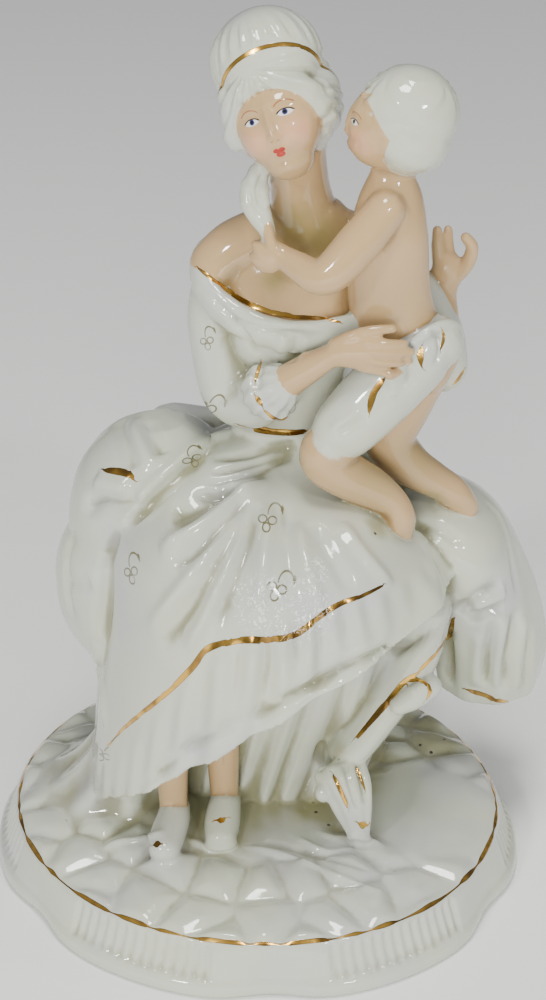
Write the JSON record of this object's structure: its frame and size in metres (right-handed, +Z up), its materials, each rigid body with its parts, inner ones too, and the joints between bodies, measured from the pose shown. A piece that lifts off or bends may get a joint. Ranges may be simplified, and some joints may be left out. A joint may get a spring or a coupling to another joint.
{
  "type": "porcelain figurine",
  "caption": "Glazed porcelain figurine of a seated mother in a draped gown who holds a child on her lap, on a lobed base with a ribbed rim.",
  "frame": {"origin": "centre of the base's flat underside", "axes": "+Z up, -Y towards the front that the figures face, +X to the right for someone who looks at the front"},
  "size_m": [0.1513, 0.136, 0.2341],
  "materials": {
    "glazed_porcelain": "white glazed porcelain, glossy, with painted skin and gilt lines"
  },
  "bodies": {
    "root": {"mother_and_child_figurine": "glazed_porcelain"}
  },
  "joints": []
}
